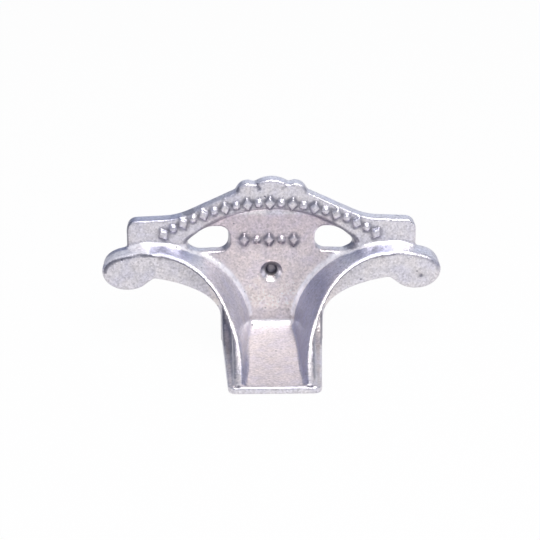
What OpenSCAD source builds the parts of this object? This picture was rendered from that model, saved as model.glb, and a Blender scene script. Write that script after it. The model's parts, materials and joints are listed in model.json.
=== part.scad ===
// Roof snow guard cast in one piece: an upright plate with a scalloped crest and two
// windows, thick lobed wings, and two flaring gusset ribs that run down to a flat foot.
// X runs along the plate, Y runs from the toe of the foot to the back of the plate,
// Z is up. The origin is on the underside of the foot, below the middle of the front face.

/* [Plate] */
// Overall width of the guard over its lobes
guard_w = 134.6; // [125:0.2:145]
// Distance by which a lobe stands out beyond the end of the plate
ear = 9.8; // [8.5:0.1:11]
// Thickness of the plate at the raised band
plate_t = 7; // [6:0.25:8]
// Height of the level shoulders above the roof
shoulder_z = 49.2; // [47.6:0.2:51]
// Radius of the upper outer corners
shoulder_r = 4; // [2:0.5:5]
// Length of each level shoulder
shoulder_l = 20; // [16:0.5:23]
// Radius where the shoulder turns up into the rise
rise_r = 26; // [10:1:36]
// Tilt of the shoulder, as a drop towards the outer corner
shoulder_drop = 0.8; // [0:0.1:1.5]

/* [Crest] */
// Overall height of the guard at the middle scallop
crest_z = 65.2; // [64:0.2:67]
// Radius of the middle scallop
crest_r = 11.6; // [9:0.2:14]
// Radius of each side scallop
scallop_r = 4.9; // [4.2:0.1:5.4]
// Half distance between the side scallops
scallop_x = 9.4; // [8.6:0.2:10.4]
// Height of the side scallops below the middle one
scallop_drop = 1.5; // [0.5:0.1:3]
// Height at which the rise meets the crest
neck_z = 60.4; // [58.5:0.2:61.6]

/* [Raised band] */
// Radius of the arch under the band
arch_r = 48.5; // [44:0.5:54]
// Height of the crown of the arch
arch_z = 53.4; // [51:0.1:55]
// Height of the band over the central field
band_h = 1; // [0.5:0.1:1.5]

/* [Windows] */
// Distance of a window's inner side from the middle
win_in = 17.2; // [16:0.2:19]
// Height of a window's sill
win_sill = 35.6; // [34.8:0.1:36.5]
// Height of a window's head
win_head = 45.9; // [45.2:0.1:46.6]
// Distance at which the head turns down
win_turn = 27; // [26.4:0.1:28]
// Distance at which the sill turns up
win_sill_x = 30.2; // [29.4:0.1:31]
// Slope of the head and the sill, as a drop to their outer turns
win_dip = 0.35; // [0:0.05:0.6]
// Distance of the pointed end from the middle
win_tip = 34.8; // [34:0.1:36]
// Height of the pointed end
win_tip_z = 38.4; // [37.6:0.1:39.2]
// Radius of the inner corners
win_r = 4.2; // [3:0.1:4.6]
// Radius of the turn in the head
win_turn_r = 11; // [6:0.5:12]
// Radius of the pointed end
win_tip_r = 1.6; // [0.8:0.1:2]

/* [Wings] */
// Half height of a lobe
lobe_r = 7.7; // [7.2:0.1:8.2]
// Half width of a lobe
lobe_rx = 9.7; // [9:0.1:10.4]
// Drop of a lobe's top below the top edge of its wing
lobe_drop = 1.8; // [1:0.1:2.4]
// Distance from the front of the plate to the back of a lobe
lobe_back = 3.5; // [2.5:0.1:5]
// Radius that rounds the front edge of a lobe
lobe_round = 2; // [1:0.1:3]
// Distance by which the wings stand in front of the plate
wing_proud = 7; // [6:0.25:8]
// Distance of the notch from the middle of its lobe
notch_in = 10.8; // [10.2:0.1:11.6]
// Distance of the centre of the lower edge's curve outside the middle of the lobe
under_out = 1.8; // [0:0.2:4]
// Height of the centre of the lower edge's curve
under_z = 10.5; // [9:0.25:12]
// Rise of the lower edge's curve
under_h = 17.2; // [16:0.2:18]

/* [Ribs] */
// Half width of the floor between the ribs at the plate
floor_x = 8.8; // [7:0.2:10]
// Distance from the middle of a lobe at which its rib levels out into the wing
flare_in = 9.7; // [8.5:0.1:11]
// Distance from the middle of a lobe at which the rim of its rib has sunk into the wing
fade_in = 5.7; // [4.5:0.1:7]
// Height of the wings' top edge
flare_z = 38.8; // [37.6:0.1:39.6]
// Thickness of a rib at its rim
rim_t = 1.6; // [1.3:0.1:2.4]
// Outward splay of the ribs along the foot, in degrees
splay = 3.5; // [2:0.25:4.5]
// Downward draft of the ribs away from the plate, in degrees
draft = 8; // [6:0.5:9]
// Depth of the hollow in the ribs' sloping edge
hollow = 5.5; // [2:0.25:7]
// Half width over the ribs' feet at the plate
heel_x = 16.6; // [15.5:0.1:17.5]
// Half width over the ribs' feet at the toe
toe_x = 15.2; // [14.4:0.1:15.8]
// Radius of the fillets between the floor and the ribs
floor_r = 1.4; // [0.8:0.1:2.4]
// Radius of the fillet between the floor and the plate
heel_r = 2.6; // [1.4:0.1:3.6]
// Radius of the hollow outside each rib, between the wing and the foot
web_r = 20; // [12:0.5:24]

/* [Foot] */
// Distance from the front of the plate to the toe
foot_l = 61; // [54:0.5:68]
// Thickness of the foot at the plate
foot_t = 4.2; // [3.4:0.1:5]
// Thickness of the foot at the toe
toe_t = 2.3; // [1.8:0.1:2.8]
// Width of the foot at the plate
foot_w = 41; // [39:0.5:43]
// Width of the foot at the toe
foot_toe_w = 34.8; // [33.5:0.1:37]
// Radius of the toe's corners
toe_r = 3; // [1:0.25:4]
// Height of the lip along the toe
lip_h = 0.6; // [0.4:0.1:1.2]
// Width of the lip along the toe
lip_w = 2; // [1.5:0.1:3]

/* [Screw hole] */
// Height of the hole above the roof
hole_z = 26.7; // [24:0.1:30]
// Diameter of the hole
hole_d = 4.5; // [3.5:0.1:5.5]
// Diameter of the countersink at the field
sink_d = 9; // [7.5:0.1:10]
// Angle of the countersink
sink_angle = 90; // [82:1:100]
// Thickness of the metal left behind the hole
hole_floor = 0.8; // [0.5:0.1:1.5]

/* [Hidden] */
$fn = 96;
over = 1;
lap = 0.25;
snug = 0.05;
knob_in = 0.4;
far = 120;
behind = 20;
turn_step = 6;
curve_steps = 28;
neck_share = 0.8;
fade_run = 25;
fade_slope = 0.5;

quarter = 90;
nearly_straight = 89.5;
round_steps = 5;
knob_ramp = 3;
knob_top = 0.5;

plate_w = guard_w - 2 * ear;
rise_x = plate_w / 2 - shoulder_l;
lobe_x = guard_w / 2 - lobe_rx;
notch_x = lobe_x - notch_in;
under_x = lobe_x + under_out;
flare_x = lobe_x - flare_in;
fade_x = lobe_x - fade_in;
field_y = band_h;
arch_c = arch_z - arch_r;
lobe_z = flare_z - lobe_drop - lobe_r;
flare_a = flare_x - floor_x;
flare_b = flare_z - foot_t;
under_a = under_x - foot_w / 2;
rib_end = foot_l - lip_w / 2;
rib_end_z = toe_t + lip_h;
floor_tilt = atan((foot_t - toe_t) / foot_l);
sink_depth = (sink_d - hole_d) / 2 / tan(sink_angle / 2);

// Height of a rising quarter ellipse at a distance from the middle
function ellipse_z(x, cx, cz, a, b) = cz + b * sqrt(max(0, 1 - pow((cx - x) / a, 2)));

// Point i of a quarter ellipse, counted from its level end down to its upright end
function ellipse_pt(i, cx, cz, a, b) =
    let (t = quarter - quarter * i / curve_steps) [cx - a * cos(t), cz + b * sin(t)];

// Corner b between a and c, turned into an arc of radius r
function corner(a, b, c, r) =
    let (
        u = (a - b) / norm(a - b),
        v = (c - b) / norm(c - b),
        half = acos(max(-1, min(1, u * v))) / 2
    )
    (r <= 0 || half > nearly_straight) ? [b] :
    let (
        p = b + u * r / tan(half),
        q = b + v * r / tan(half),
        m = b + (u + v) / norm(u + v) * r / sin(half),
        a0 = atan2(p[1] - m[1], p[0] - m[0]),
        a1 = atan2(q[1] - m[1], q[0] - m[0]),
        sweep = ((a1 - a0 + 540) % 360) - 180,
        n = max(2, ceil(abs(sweep) / turn_step))
    )
    [for (i = [0 : n]) m + r * [cos(a0 + sweep * i / n), sin(a0 + sweep * i / n)]];

// Closed outline from a list of [x, y, radius]
function rounded(path) =
    let (n = len(path))
    [for (i = [0 : n - 1])
        let (a = path[(i + n - 1) % n], b = path[i], c = path[(i + 1) % n])
        each corner([a[0], a[1]], [b[0], b[1]], [c[0], c[1]], b[2])];

// Point where a line from p touches a circle, on the side given by s
function touch(p, c, r, s) =
    let (d = norm(p - c), base = atan2(p[1] - c[1], p[0] - c[0]), turn = acos(r / d))
    c + r * [cos(base + s * turn), sin(base + s * turn)];

notch_z = ellipse_z(notch_x, under_x, under_z, under_a, under_h);

// Stands a front view up, from y0 back to y1
module upright(y0, y1) {
    translate([0, y1, 0])
        rotate([90, 0, 0])
            linear_extrude(height = y1 - y0)
                children();
}

// Front view point as seen along the ribs' splay and draft
function along(p) = [p[0] * cos(splay), (p[1] + p[0] * sin(splay) * tan(draft)) * cos(draft)];

// Front view carried forward along the ribs' splay and draft
module drafted(points) {
    rotate([90 + draft, 0, splay])
        translate([0, 0, -behind])
            linear_extrude(height = foot_l + 2 * behind)
                polygon([for (p = points) along(p)]);
}

// Both halves of a part that is drawn on the right
module both() {
    children();
    mirror([1, 0, 0])
        children();
}

// Upper part of the plate, down to the middle of the wings, with its crest
module plate() {
    e = plate_w / 2;
    n = scallop_x + scallop_r * neck_share;
    upright(0, plate_t)
        polygon(rounded([
            [-e, lobe_z, 0],
            [e, lobe_z, 0],
            [e, shoulder_z - shoulder_drop, shoulder_r],
            [rise_x, shoulder_z, rise_r],
            [n, neck_z, 0],
            [-n, neck_z, 0],
            [-rise_x, shoulder_z, rise_r],
            [-e, shoulder_z - shoulder_drop, shoulder_r]
        ]));
    upright(0, plate_t)
        translate([0, crest_z - crest_r])
            circle(r = crest_r);
    for (s = [-1, 1])
        upright(0, plate_t)
            translate([s * scallop_x, crest_z - scallop_drop - scallop_r])
                circle(r = scallop_r);
}

// Angles at which the lobe's outline starts and ends, where the lines from the notch and from
// the top edge of the wing touch it
lobe_wide = lobe_rx / lobe_r;
function lobe_angle(p, s) =
    let (
        c = [lobe_x / lobe_wide, lobe_z],
        t = touch([p[0] / lobe_wide, p[1]], c, lobe_r, s)
    )
    atan2(t[1] - c[1], t[0] - c[0]);
lobe_from = lobe_angle([notch_x, notch_z], 1);
lobe_to = lobe_angle([fade_x, flare_z], -1);

// Outline of the right lobe, from the line at the notch round to the line at the wing's top
lobe_pts = [for (i = [0 : curve_steps])
    let (k = lobe_from + (lobe_to - lobe_from) * i / curve_steps)
    [lobe_x + lobe_rx * cos(k), lobe_z + lobe_r * sin(k)]];

// Height of the line from the notch to the lobe
function notch_line(x) =
    notch_z + (lobe_pts[0][1] - notch_z) * (x - notch_x) / (lobe_pts[0][0] - notch_x);

// Lower edge of the right wing, from the middle of the foot out to the notch
under_pts = concat(
    [[0, 0], [foot_w / 2, 0]],
    [for (i = [0 : curve_steps])
        let (k = quarter * i / curve_steps, x = under_x - under_a * cos(k))
        if (x < notch_x - lap) [x, under_z + under_h * sin(k)]],
    [[notch_x, notch_z]]
);

// Outline of the right wing without its lobe, in front and behind
wing_pts = concat(under_pts, [[fade_x, notch_line(fade_x)], [fade_x, flare_z], [0, flare_z]]);
back_pts = concat(under_pts, [[notch_x, flare_z], [0, flare_z]]);

// Outline of the lobe, with the radius that rounds its front edge at each point. Its inner end
// is in the wing.
knob_pts = concat(
    [[flare_x, notch_line(flare_x) + knob_in, 0]],
    [for (i = [0 : curve_steps])
        let (s = i / curve_steps, grow = min(1, s * knob_ramp, (1 - s) * knob_ramp + knob_top))
        [lobe_pts[i][0], lobe_pts[i][1], lobe_round * grow]],
    [[fade_x, flare_z - snug, 0], [flare_x, flare_z - knob_in, 0]]
);

// Point i of a loop, set in from the outline by d
function set_in(loop, i, d) =
    let (
        n = len(loop),
        a = loop[(i + n - 1) % n],
        b = loop[i],
        c = loop[(i + 1) % n],
        u = [b[0] - a[0], b[1] - a[1]] / norm([b[0] - a[0], b[1] - a[1]]),
        v = [c[0] - b[0], c[1] - b[1]] / norm([c[0] - b[0], c[1] - b[1]]),
        m = [-u[1] - v[1], u[0] + v[0]] / (1 + u * v)
    )
    [b[0], b[1]] + d * m;

// Right lobe, rounded in front and drafted on top like the ribs
module knob() {
    n = len(knob_pts);
    last = round_steps + 1;
    y0 = -wing_proud + snug;
    points = [for (s = [0 : last], i = [0 : n - 1])
        let (
            k = quarter * min(s, round_steps) / round_steps,
            y = s == last ? lobe_back : y0 + lobe_round * (1 - cos(k)),
            p = set_in(knob_pts, i, knob_pts[i][2] * (1 - sin(k))),
            up = max(0, min(1, (p[1] - lobe_z) / lobe_r))
        )
        [p[0], y, p[1] + min(0, y) * tan(draft) * up]];
    sides = [for (s = [0 : last - 1], i = [0 : n - 1])
        let (j = (i + 1) % n, a = s * n + i, b = s * n + j, c = b + n, d = a + n)
        each [[a, b, c], [a, c, d]]];
    front = [for (i = [1 : n - 2]) [0, i + 1, i]];
    back = [[for (i = [0 : n - 1]) last * n + i]];
    polyhedron(points, concat(front, sides, back));
}

// Open space over the right wing and inside the right rib
trough_pts = concat(
    [[flare_x + far, far], [-floor_x, far], [-floor_x, -far], [floor_x, -far]],
    [for (i = [curve_steps : -1 : 0]) ellipse_pt(i, flare_x, foot_t, flare_a, flare_b)],
    [[flare_x + far, flare_z]]
);

// Right rib in front view, from the rim's outer side inwards
rib_pts = concat(
    [[fade_x + over, far], [0, far], [0, -far], [floor_x + rim_t, -far]],
    [for (i = [curve_steps : -1 : 0]) ellipse_pt(i, flare_x, foot_t, flare_a - rim_t, flare_b - rim_t)],
    [[fade_x + over, flare_z - rim_t]]
);

// Side view that the ribs are cut to: level over the wings, then a hollow slope to the toe
module rib_side() {
    top = flare_z - wing_proud * tan(draft);
    slope = [for (i = [0 : curve_steps])
        let (s = i / curve_steps, sag = 4 * hollow * s * (1 - s))
        [-wing_proud - (rib_end - wing_proud) * s, top + (rib_end_z - top) * s - sag]];
    heel = [[plate_t / 2, toe_t / 2], [plate_t / 2, flare_z]];
    rotate([90, 0, 90])
        translate([0, 0, -over])
            linear_extrude(height = fade_x + 2 * over)
                polygon(concat(heel, slope, [[-rib_end, toe_t / 2]]));
}

// Plan that lets the outer end of a rib sink into the wing
module rib_plan() {
    y = -wing_proud + lap;
    linear_extrude(height = far)
        polygon([
            [-over, plate_t / 2],
            [fade_x, plate_t / 2],
            [fade_x, y],
            [fade_x - fade_run, y - fade_run * fade_slope],
            [foot_w / 2, -foot_l],
            [-over, -foot_l]
        ]);
}

// Hollow fillet section with its square corner at the origin, reaching along +X and +Y
module fillet_section(r) {
    difference() {
        translate([-over, -over])
            square(r + over);
        translate([r, r])
            circle(r = r);
    }
}

// Fillet along the floor at the plate
module plate_fillet() {
    translate([-floor_x - over, field_y, foot_t])
        rotate([90, 0, 90])
            mirror([1, 0, 0])
                linear_extrude(height = 2 * (floor_x + over))
                    fillet_section(heel_r);
}

// Fillet along the floor at the right rib
module rib_fillet() {
    spread = atan((toe_x - rim_t - floor_x) / foot_l);
    translate([floor_x, 0, foot_t])
        rotate([90 + floor_tilt, 0, spread])
            mirror([1, 0, 0])
                linear_extrude(height = foot_l)
                    fillet_section(floor_r);
}

// Right gusset rib
module rib() {
    intersection() {
        rib_side();
        rib_plan();
        union() {
            difference() {
                union() {
                    drafted(rib_pts);
                    linear_extrude(height = flare_z)
                        polygon([
                            [0, plate_t / 2],
                            [heel_x, plate_t / 2],
                            [heel_x, 0],
                            [toe_x, -foot_l],
                            [0, -foot_l]
                        ]);
                }
                drafted(trough_pts);
            }
            rib_fillet();
        }
    }
}

// Plan of the foot
foot_pts = rounded([
    [-foot_w / 2, plate_t, 0],
    [foot_w / 2, plate_t, 0],
    [foot_w / 2, 0, 0],
    [foot_toe_w / 2, -foot_l, toe_r],
    [-foot_toe_w / 2, -foot_l, toe_r],
    [-foot_w / 2, 0, 0]
]);

// Hollow web outside the right rib, from the front of the wing down to the edge of the foot
module web() {
    y = web_r * tan(floor_tilt) + snug - wing_proud;
    intersection() {
        translate([0, y, foot_t + y * tan(floor_tilt) - snug])
            rotate([floor_tilt, 0, 0])
                rotate([90, 0, 90])
                    mirror([1, 0, 0])
                        linear_extrude(height = foot_w)
                            fillet_section(web_r);
        linear_extrude(height = far)
            polygon(foot_pts);
    }
}

// Foot with a floor that slopes down to a lip along its toe
module foot() {
    difference() {
        linear_extrude(height = 2 * foot_t)
            polygon(foot_pts);
        translate([-far / 2, 0, foot_t])
            rotate([floor_tilt, 0, 0])
                translate([0, -far, 0])
                    cube([far, 2 * far, far]);
    }
    intersection() {
        linear_extrude(height = toe_t + lip_h)
            polygon(foot_pts);
        translate([-foot_w / 2, -foot_l - over, toe_t / 2])
            cube([foot_w, lip_w + over, foot_t + lip_h]);
    }
}

// Outline of the right window, round inside and pointed outside
win_pts = rounded([
    [win_in, win_sill, win_r],
    [win_in, win_head, win_r],
    [win_turn, win_head - win_dip, win_turn_r],
    [win_tip, win_tip_z, win_tip_r],
    [win_sill_x, win_sill - win_dip, win_r]
]);

// Central field, sunk below the raised band and bounded by the arch
module field() {
    upright(-over, field_y)
        intersection() {
            translate([0, arch_c])
                circle(r = arch_r);
            translate([-far, foot_t])
                square([2 * far, far]);
        }
}

// Countersunk screw hole in the field, closed at the back
module screw_hole() {
    translate([0, field_y, hole_z])
        rotate([-90, 0, 0]) {
            translate([0, 0, -over])
                cylinder(d = hole_d, h = plate_t - field_y - hole_floor + over);
            cylinder(d1 = sink_d, d2 = hole_d, h = sink_depth);
        }
}

// The whole casting
module guard_casting() {
    color("silver")
        difference() {
            union() {
                difference() {
                    union() {
                        plate();
                        both()
                            upright(0, plate_t)
                                polygon(back_pts);
                    }
                    field();
                }
                both() {
                    difference() {
                        union() {
                            upright(-wing_proud, lobe_back)
                                polygon(wing_pts);
                            web();
                        }
                        drafted(trough_pts);
                    }
                    knob();
                    rib();
                }
                foot();
                plate_fillet();
            }
            both()
                upright(-over, plate_t + over)
                    polygon(win_pts);
            screw_hole();
        }
}

guard_casting();
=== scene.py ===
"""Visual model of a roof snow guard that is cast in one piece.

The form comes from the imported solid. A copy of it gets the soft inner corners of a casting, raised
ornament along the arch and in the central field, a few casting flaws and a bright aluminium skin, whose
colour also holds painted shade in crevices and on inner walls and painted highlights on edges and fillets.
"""

import json
import logging
import math
from dataclasses import dataclass, field, fields
from enum import Enum
from typing import Any, ClassVar, Mapping, Optional, Sequence, Union

import bmesh
import bpy
import numpy as np
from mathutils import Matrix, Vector, kdtree, noise

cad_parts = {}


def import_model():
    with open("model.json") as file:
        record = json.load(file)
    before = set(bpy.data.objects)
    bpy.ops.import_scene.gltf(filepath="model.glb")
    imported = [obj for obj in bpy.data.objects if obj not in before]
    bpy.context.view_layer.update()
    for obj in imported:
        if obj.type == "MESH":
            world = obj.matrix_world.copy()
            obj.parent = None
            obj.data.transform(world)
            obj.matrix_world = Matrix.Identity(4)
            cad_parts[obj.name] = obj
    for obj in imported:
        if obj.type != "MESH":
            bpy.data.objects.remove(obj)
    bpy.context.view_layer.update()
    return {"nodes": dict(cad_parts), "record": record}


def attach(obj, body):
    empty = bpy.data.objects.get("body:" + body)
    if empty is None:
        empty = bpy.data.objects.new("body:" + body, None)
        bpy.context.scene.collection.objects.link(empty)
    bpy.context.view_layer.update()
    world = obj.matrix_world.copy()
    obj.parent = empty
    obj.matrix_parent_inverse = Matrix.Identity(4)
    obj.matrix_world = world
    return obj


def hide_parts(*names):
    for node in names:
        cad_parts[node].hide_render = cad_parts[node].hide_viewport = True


MM = 0.001
INF = math.inf
LOG = logging.getLogger("snow_guard")

Color = tuple[float, float, float]
Place = tuple[float, float, float]
Span = tuple[float, float]
Key = Union[str, int]

ANY: Span = (-INF, INF)
WHITE: Color = (1.0, 1.0, 1.0)
BLACK: Color = (0.0, 0.0, 0.0)


def fade(values: Any, none: float, full: float) -> np.ndarray:
    """Gives shares from 0 at one value to 1 at another, of which either may be the higher."""
    return np.clip((values - none) / (full - none), 0.0, 1.0)


def opaque(color: Color) -> tuple[float, float, float, float]:
    """Gives a colour for a node's socket."""
    return (*color, 1.0)


class NodeName(Enum):
    """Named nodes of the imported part."""

    CASTING = "guard_casting"


class Slot(Enum):
    """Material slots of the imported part."""

    CASTING = "casting"


class Body(Enum):
    """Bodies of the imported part."""

    ROOT = "root"


class Trait(Enum):
    """Masks that the casting's mesh keeps at each point for its finish: painted shade in crevices and on
    walls and tops, painted highlights on edges and fillets, and painted light and shade between the ribs.
    """

    CREVICE = "crevice"
    EDGE = "edge"
    FILLET = "fillet"
    SHELTER = "shelter"
    DULL = "dull"


@dataclass(frozen=True)
class Signal:
    """One output of a node, with arithmetic that adds Math nodes to its tree."""

    graph: "Graph"
    socket: Optional[bpy.types.NodeSocket]

    def _math(self, operation: str, left: Any, right: Any) -> "Signal":
        """Adds a Math node for two operands."""
        return self.graph.add("ShaderNodeMath", {"operation": operation}, {0: left, 1: right})

    def __add__(self, other: Any) -> "Signal":
        """Returns self + other."""
        return self._math("ADD", self, other)

    def __radd__(self, other: Any) -> "Signal":
        """Returns other + self."""
        return self._math("ADD", other, self)

    def __sub__(self, other: Any) -> "Signal":
        """Returns self - other."""
        return self._math("SUBTRACT", self, other)

    def __rsub__(self, other: Any) -> "Signal":
        """Returns other - self."""
        return self._math("SUBTRACT", other, self)

    def __mul__(self, other: Any) -> "Signal":
        """Returns self * other."""
        return self._math("MULTIPLY", self, other)

    def __rmul__(self, other: Any) -> "Signal":
        """Returns other * self."""
        return self._math("MULTIPLY", other, self)

    def __lt__(self, other: Any) -> "Signal":
        """Returns 1 where self is under other, and else 0."""
        return self._math("LESS_THAN", self, other)


@dataclass(frozen=True)
class Graph:
    """A node tree that is filled node by node."""

    tree: bpy.types.NodeTree

    def add(
        self,
        kind: str,
        settings: Optional[Mapping[str, Any]] = None,
        inputs: Optional[Mapping[Key, Any]] = None,
        output: Key = 0,
    ) -> Signal:
        """Adds one node.

        Args:
            kind: The node's type name.
            settings: Attributes to set before any socket; "stops" fills a colour ramp.
            inputs: Values or signals by socket name or number.
            output: Name or number of the output to return.

        Returns:
            The chosen output.
        """
        node = self.tree.nodes.new(kind)
        for name, value in (settings or {}).items():
            if name == "stops":
                self._fill_ramp(node.color_ramp, value)
            else:
                setattr(node, name, value)
        for key, value in (inputs or {}).items():
            if isinstance(value, Signal):
                self.tree.links.new(value.socket, node.inputs[key])
            else:
                node.inputs[key].default_value = value
        return Signal(self, node.outputs[output]) if node.outputs else Signal(self, None)

    @staticmethod
    def _fill_ramp(ramp: bpy.types.ColorRamp, stops: Sequence[tuple[float, Color]]) -> None:
        """Fills a colour ramp.

        Args:
            ramp: The ramp to fill, which has two stops to begin with.
            stops: Positions with their colours, in rising order.
        """
        while len(ramp.elements) < len(stops):
            ramp.elements.new(1.0)
        for element, (position, color) in zip(ramp.elements, stops):
            element.position = position
            element.color = (*color, 1.0)

    def other(self, signal: Signal, output: Key) -> Signal:
        """Returns another output of the node that a signal comes from."""
        return Signal(self, signal.socket.node.outputs[output])

    def blend(self, share: Any, first: Any, second: Any, how: str = "MIX") -> Signal:
        """Mixes two colours.

        Args:
            share: Share of the second colour.
            first: First colour.
            second: Second colour.
            how: Name of the blend.

        Returns:
            The mixed colour.
        """
        return self.add(
            "ShaderNodeMix",
            {"data_type": "RGBA", "blend_type": how},
            {0: share, 6: first, 7: second},
            2,
        )

    def ramp(self, value: Signal, source: Span, target: Span) -> Signal:
        """Maps one span of values onto another, and holds the value beyond its ends.

        Args:
            value: The value.
            source: Span that it comes from.
            target: Span that it goes to.

        Returns:
            The mapped value.
        """
        ends = {1: source[0], 2: source[1], 3: target[0], 4: target[1]}
        return self.add("ShaderNodeMapRange", {"clamp": True}, {0: value, **ends})

    def shades(self, value: Signal, stops: Sequence[tuple[float, Color]]) -> Signal:
        """Turns a value into a colour by the stops of a colour ramp."""
        return self.add("ShaderNodeValToRGB", {"stops": stops}, {0: value})


@dataclass(frozen=True)
class HoleShade:
    """Painted shade in the screw hole and in the upper half of its sink, which face away from the light.

    Attributes:
        bore: Radius of the painted shade in the bore, as a share of the hole's radius.
        sink: Radius of the painted shade in the sink, as a share of the hole's radius.
        depth: Depth of both, as a share of the hole's radius.
        rise: Heights over the axis between which the sink darkens, as shares of the hole's radius.
        bore_share: Share of painted shade in the bore.
        sink_share: Greatest share of painted shade in the sink.
    """

    bore: float = 1.05
    sink: float = 1.95
    depth: float = 0.85
    rise: Span = (-0.3, 0.7)
    bore_share: float = 0.55
    sink_share: float = 0.8

    def mask(self, graph: Graph, place: Signal, hole: Place, radius: float) -> Signal:
        """Adds the mask of the painted shade.

        Args:
            graph: Tree to add to.
            place: Coordinates in metres.
            hole: A point on the hole's axis, in metres.
            radius: Radius of the hole in metres.

        Returns:
            Share of painted shade, from 0 to 1.
        """
        along_x = graph.add("ShaderNodeSeparateXYZ", {}, {0: place})
        off_x = along_x - hole[0]
        off_y = graph.other(along_x, 1) - hole[1]
        off_z = graph.other(along_x, 2) - hole[2]
        off = off_x * off_x + off_z * off_z
        inside = off_y < self.depth * radius
        bore = (off < (self.bore * radius) ** 2) * inside
        sink = (off < (self.sink * radius) ** 2) * inside
        low, high = self.rise
        above = graph.ramp(off_z, (low * radius, high * radius), (0.0, self.sink_share))
        return graph.add(
            "ShaderNodeMath",
            {"operation": "MAXIMUM"},
            {0: bore * self.bore_share, 1: sink * above},
        )


@dataclass(frozen=True)
class CastFinish:
    """Bright as-cast aluminium with a sand grain and small dark pits, with painted shade in its crevices,
    its screw hole and on its inner walls, painted highlights on its edges and fillets, and painted light
    and shade between the ribs.

    Attributes:
        name: Name of the material.
        pale: Colour of the open faces.
        lilac: Second colour, mottled into the first.
        warm: Third colour, mottled into the first.
        rose: Painted shade, pinkish and darker, on the field below the arch.
        cream: Painted warm bounce light, brighter than the metal, on the lower field.
        sand: Painted shade, slightly darker and warm, on the floor between the ribs.
        dusk: Blue-grey colour of the painted shade on the ribs' inner walls, on the tops and on the floor
            near the heel.
        soot: Dark colour of the pits, and of the painted shade in crevices and in the screw hole.
        shine: Colour of the painted highlights in the fillets and along the edges.
        metallic: Share of bare metal in the skin.
        fillet_matt: Share of bare metal that the fillets lose.
        roughness: Roughness of the open faces.
        grain_roughness: Difference in roughness within the sand grain.
        edge_polish: Roughness that the edges lose.
        mottle_mm: Size of the mottling.
        mottle_stops: Places of the three colours in the mottling.
        grain_mm: Size of the sand grain.
        grain_depth_mm: Depth of the sand grain.
        detail: Levels of finer noise in the mottling and the grain.
        cell_size: Size of the sand's cells, as a share of the grain's size.
        base_tone: Tone of the darkest sand.
        cell_tone: Tone that a pale cell adds.
        grain_tone: Tone that a pale grain adds.
        tint_top_mm: Height that the tints' heights are measured against.
        sand_mm: Height up to which the floor's tint goes.
        cream_mm: Height at which the lower field's tint is full.
        rose_mm: Height from which the upper field's tint is full.
        clump_size: Size of the specks, as a share of the grain's size.
        clump_detail: Levels of finer noise in the specks.
        speck_stops: Places in that noise at which a speck begins and is full.
        speck_least: Share of painted highlight between the specks.
        edge_shine: Share of painted highlight on the edges.
        soot_share: Share of that dark colour in the pits and in the painted shade of the crevices.
        pit_mm: Distance between the pits.
        pit_stops: Radius of a pit and of its border, as shares of that distance.
        pit_depth_mm: Depth of a pit.
        hole_soot: Painted shade in the screw hole.
    """

    name: str = "as_cast_aluminium"
    pale: Color = (0.76, 0.735, 0.76)
    lilac: Color = (0.725, 0.705, 0.765)
    warm: Color = (0.785, 0.75, 0.755)
    rose: Color = (0.87, 0.80, 0.82)
    cream: Color = (1.29, 1.23, 1.12)
    sand: Color = (0.92, 0.89, 0.86)
    dusk: Color = (0.50, 0.53, 0.68)
    soot: Color = (0.10, 0.10, 0.14)
    shine: Color = (0.97, 0.95, 0.96)
    metallic: float = 0.70
    fillet_matt: float = 0.35
    roughness: float = 0.34
    grain_roughness: float = 0.2
    edge_polish: float = 0.06
    mottle_mm: float = 6.0
    mottle_stops: tuple[float, float, float] = (0.34, 0.5, 0.66)
    grain_mm: float = 0.9
    grain_depth_mm: float = 0.19
    detail: float = 3.0
    cell_size: float = 0.85
    base_tone: float = 0.50
    cell_tone: float = 0.30
    grain_tone: float = 0.7
    tint_top_mm: float = 50.0
    sand_mm: float = 10.0
    cream_mm: float = 12.5
    rose_mm: float = 46.0
    clump_size: float = 2.0
    clump_detail: float = 2.0
    speck_stops: Span = (0.40, 0.60)
    speck_least: float = 0.4
    edge_shine: float = 0.7
    soot_share: float = 0.7
    pit_mm: float = 5.0
    pit_stops: Span = (0.05, 0.10)
    pit_depth_mm: float = 0.15
    hole_soot: HoleShade = HoleShade()

    def material(self, hole: Place, hole_radius: float) -> bpy.types.Material:
        """Builds the material.

        Args:
            hole: A point on the axis of the screw hole, in metres.
            hole_radius: Radius of the screw hole in metres.

        Returns:
            A node material in object coordinates.
        """
        material = bpy.data.materials.new(self.name)
        material.use_nodes = True
        material.node_tree.nodes.clear()
        graph = Graph(material.node_tree)
        place = graph.add("ShaderNodeTexCoord", output="Object")
        grain = self._noise(graph, place, self.grain_mm, self.detail)
        pits = self._pits(graph, place)
        edge = self._trait(graph, Trait.EDGE)
        fillet = self._trait(graph, Trait.FILLET)
        # Dark pits of the metal, plus painted shade along crevices, rim lines and under the band.
        pits_and_shade = (pits + self._trait(graph, Trait.CREVICE)) * self.soot_share
        # Painted shade in the screw hole and in the upper half of its sink.
        hole_shade_share = self.hole_soot.mask(graph, place, hole, hole_radius)
        color = self._skin(graph, place, grain)
        # Painted light and shade between the ribs: darker under the arch, brighter on the lower field.
        color = graph.blend(self._trait(graph, Trait.SHELTER), color, self._tint(graph, place), "MULTIPLY")
        # Painted blue-grey shade on the inner walls, the tops and the floor near the heel.
        color = graph.blend(self._trait(graph, Trait.DULL), color, opaque(self.dusk), "MULTIPLY")
        # Painted highlights: specks in the fillets and lines along the edges.
        bright = self._specks(graph, place) * fillet + edge * self.edge_shine
        color = graph.blend(bright, color, opaque(self.shine))
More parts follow.
